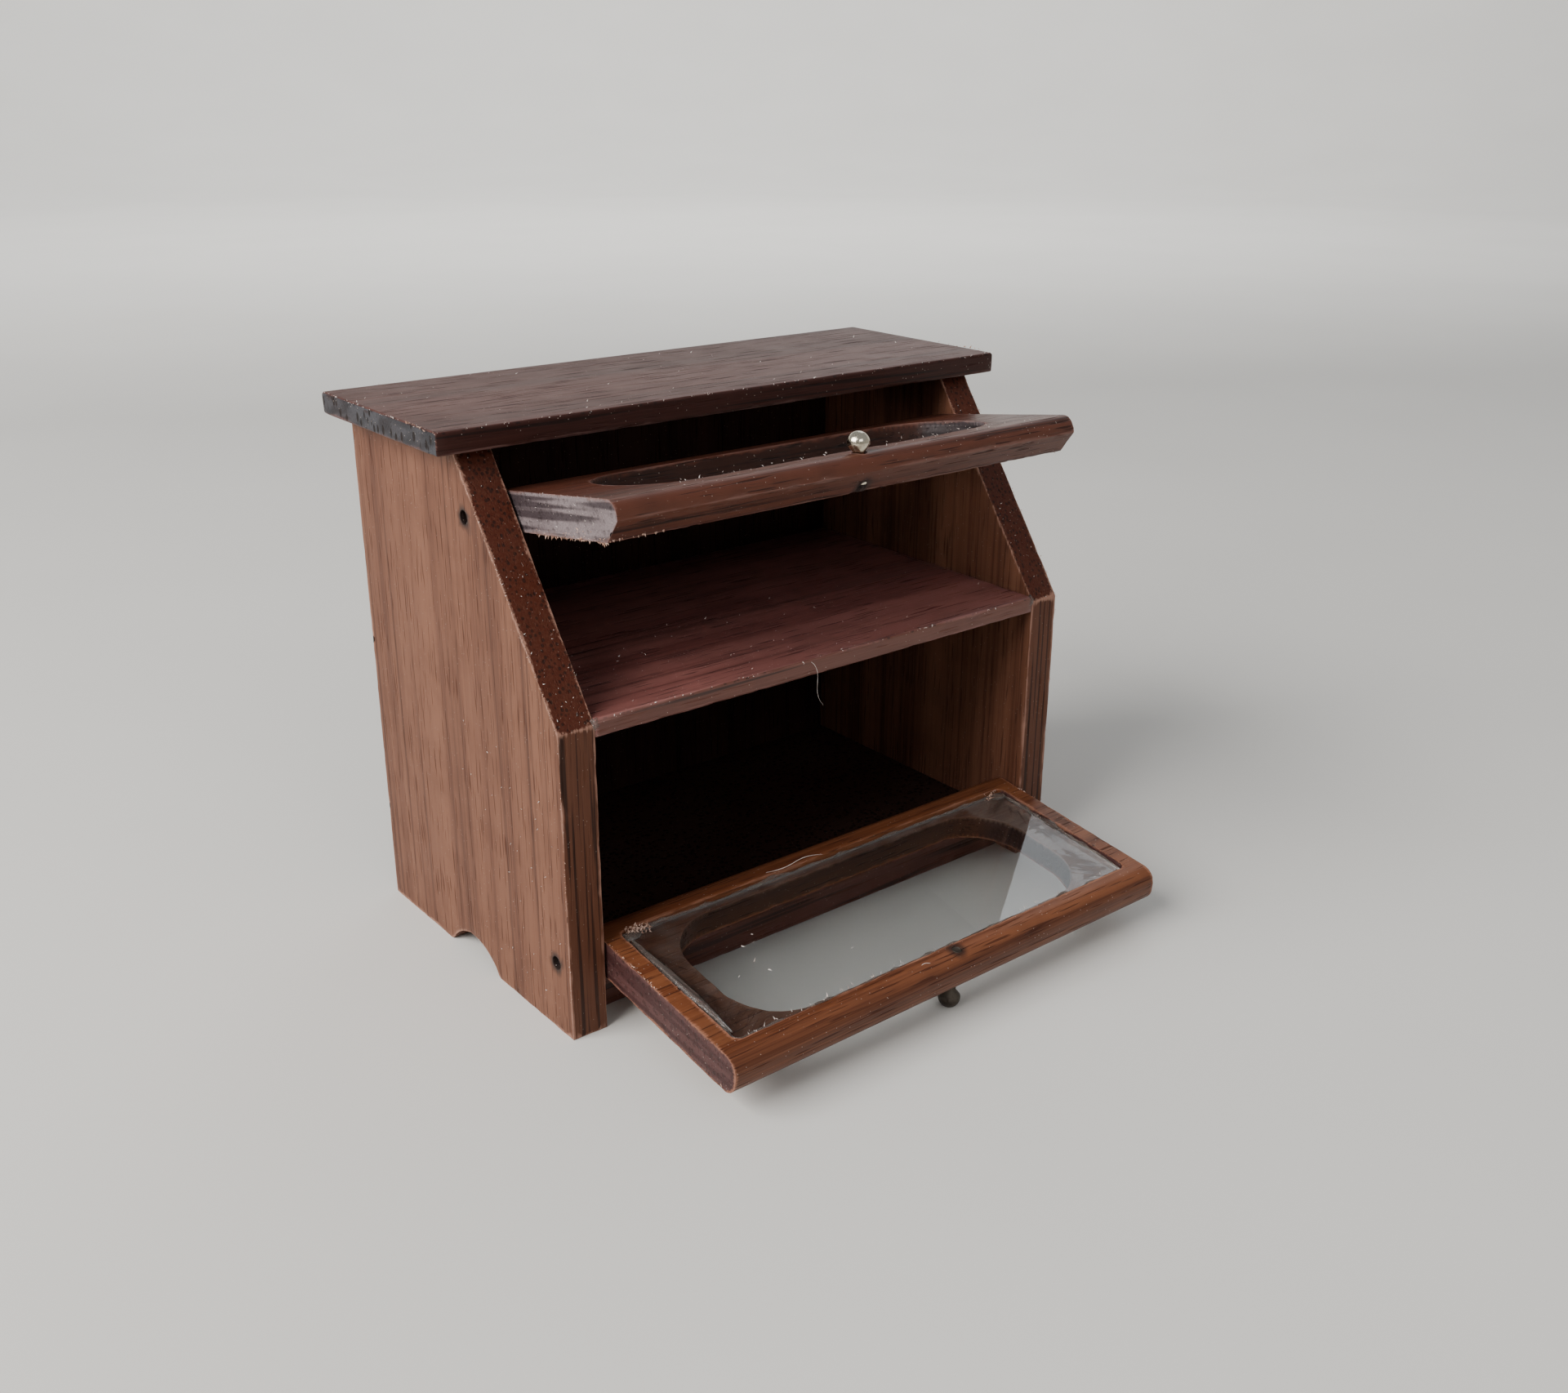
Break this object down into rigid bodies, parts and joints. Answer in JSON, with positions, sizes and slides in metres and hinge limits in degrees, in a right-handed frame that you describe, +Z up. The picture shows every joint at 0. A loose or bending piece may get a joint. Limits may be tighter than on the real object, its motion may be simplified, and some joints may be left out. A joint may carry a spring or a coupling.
{
  "type": "miniature bookcase",
  "caption": "Dolls-house bookcase with a sloping front, a shelf and glazed wooden doors that lift or drop on wire pins.",
  "frame": {"origin": "floor height, middle of the whole width and of the whole depth with both doors standing open", "axes": "+Z up, the doors face -Y, +X along the shelf to the right as seen from the front"},
  "size_m": [0.0466, 0.039, 0.0377],
  "materials": {
    "side_wood": "satin walnut stain, long grain upright",
    "top_wood": "satin dark stain, grain along the width",
    "shelf_wood": "satin red-brown stain",
    "back_wood": "matt dark stain",
    "upper_door_wood": "satin red-brown stain",
    "lower_door_wood": "satin orange-brown stain",
    "pane_glass": "clear, thin",
    "clear_glue": "clear craft glue, slightly milky",
    "knob_brass": "polished pale brass",
    "hinge_wire": "cut wire"
  },
  "bodies": {
    "case": {"side_left": "side_wood", "side_right": "side_wood", "top_board": "top_wood", "back_panel": "back_wood", "shelf": "shelf_wood", "bottom_board": "back_wood", "kick_rail": "shelf_wood", "upper_hinge_pin_left": "hinge_wire", "upper_hinge_pin_right": "hinge_wire", "lower_hinge_pin_left": "hinge_wire", "lower_hinge_pin_right": "hinge_wire"},
    "upper_door": {"upper_door_frame": "upper_door_wood", "upper_door_pane": "pane_glass", "upper_door_glue": "clear_glue", "upper_door_knob": "knob_brass"},
    "lower_door": {"lower_door_frame": "lower_door_wood", "lower_door_pane": "pane_glass", "lower_door_glue": "clear_glue", "lower_door_knob": "knob_brass"}
  },
  "joints": [
    {"name": "upper_door_hinge", "type": "hinge", "parent": "case", "child": "upper_door", "pos_m": [0, 0.00386, 0.0322], "axis": [1, 0, 0], "range_deg": [-54.5, 63.4]},
    {"name": "lower_door_hinge", "type": "hinge", "parent": "case", "child": "lower_door", "pos_m": [0, -0.00439, 0.00495], "axis": [1, 0, 0], "range_deg": [-97, 0]}
  ]
}
